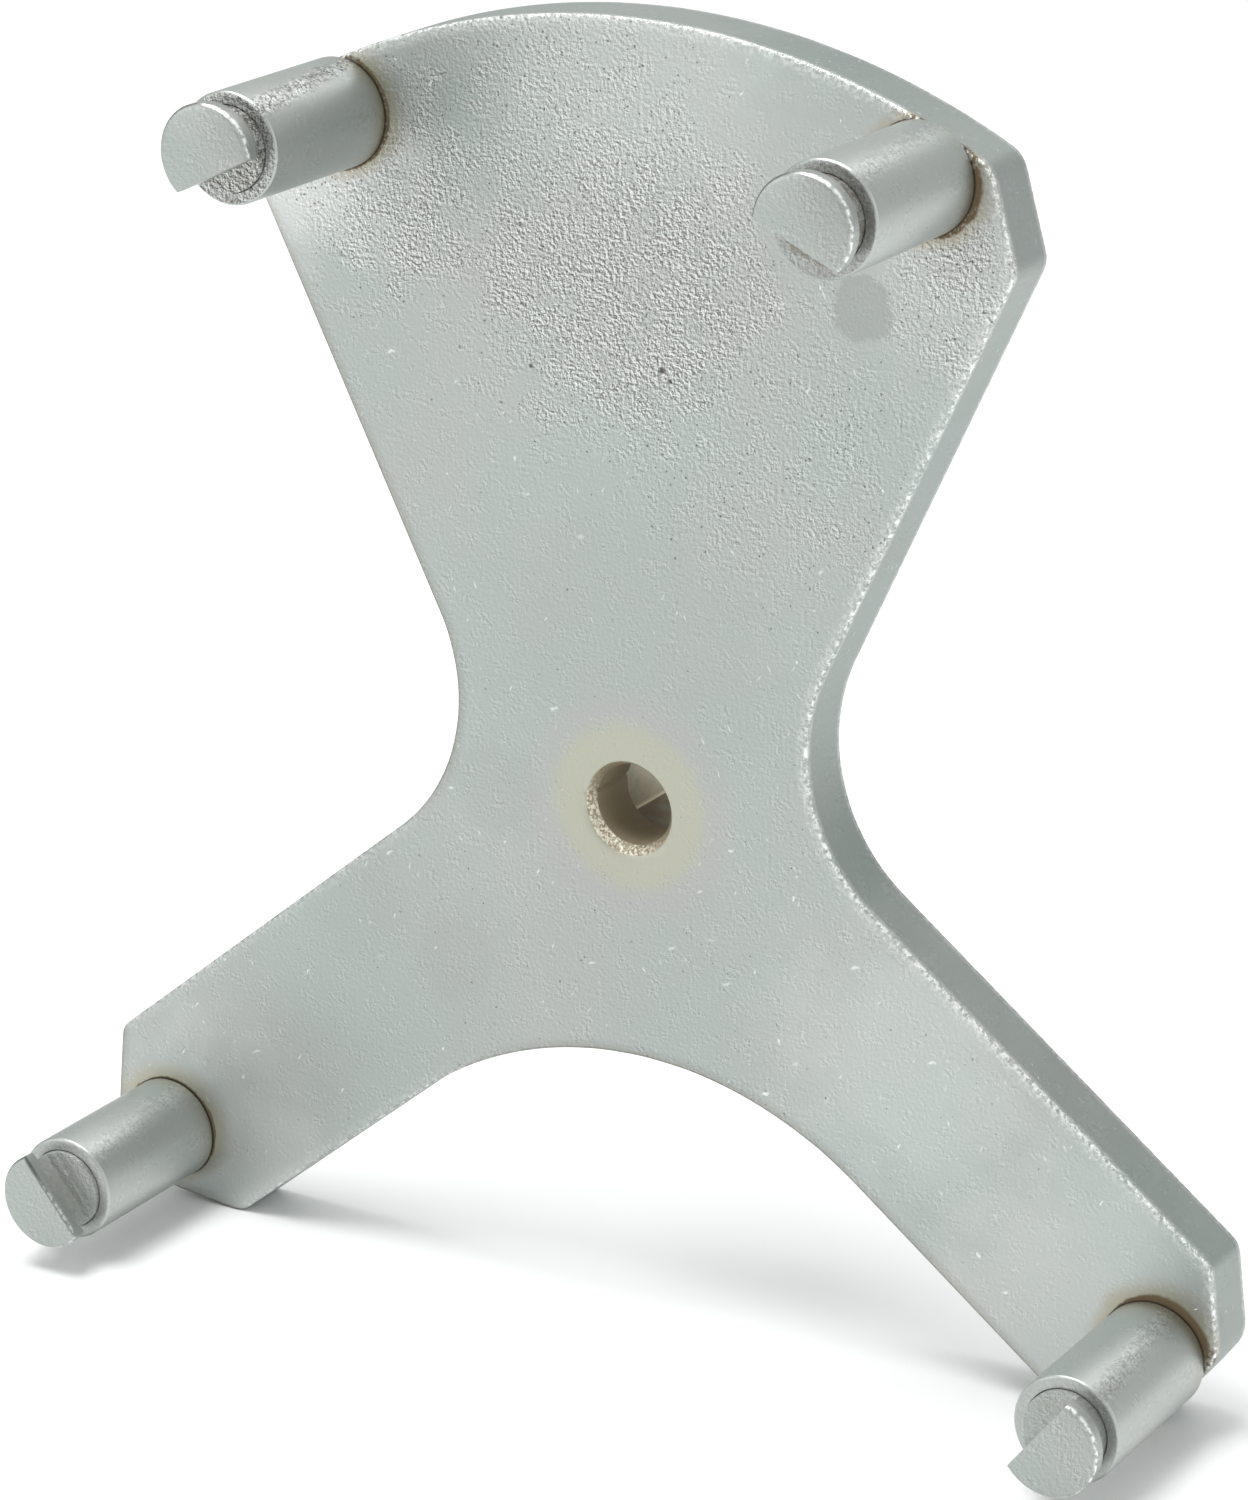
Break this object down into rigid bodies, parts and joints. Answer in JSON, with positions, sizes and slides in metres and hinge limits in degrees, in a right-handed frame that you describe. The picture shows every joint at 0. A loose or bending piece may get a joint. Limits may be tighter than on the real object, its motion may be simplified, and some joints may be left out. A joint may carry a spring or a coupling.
{
  "type": "lock ring wrench",
  "caption": "Flat spider plate with a wide sector and two arms, headed pins in spacer sleeves near its rim, and a square-drive hub on its back.",
  "frame": {"origin": "bottom centre of the bounding box, with the two arm ends standing on z = 0; the drive axis is at x = 0, z = 48.99 mm", "axes": "-Y along the drive axis from the hub towards the pins, +Z towards the wide sector, +X across the wrench"},
  "size_m": [0.117, 0.039, 0.1204],
  "materials": {
    "plated_plate": "satin grey-green zinc plating over rolled plate, lightly pitted",
    "plated_hub": "satin zinc plating over turned steel",
    "plated_sleeve": "satin zinc plating over turned steel",
    "plated_pin": "satin zinc plating over turned and milled steel",
    "weld_metal": "rippled weld bead under thin zinc plating, browned"
  },
  "bodies": {
    "root": {"spider_plate": "plated_plate", "drive_hub": "plated_hub", "hub_weld": "weld_metal", "sleeve_sector_left": "plated_sleeve", "sleeve_sector_right": "plated_sleeve", "sleeve_arm_right": "plated_sleeve", "sleeve_arm_left": "plated_sleeve", "headed_pin_sector_left": "plated_pin", "headed_pin_sector_right": "plated_pin", "headed_pin_arm_right": "plated_pin", "headed_pin_arm_left": "plated_pin", "pin_weld_sector_left": "weld_metal", "pin_weld_sector_right": "weld_metal", "pin_weld_arm_right": "weld_metal", "pin_weld_arm_left": "weld_metal"}
  },
  "joints": []
}
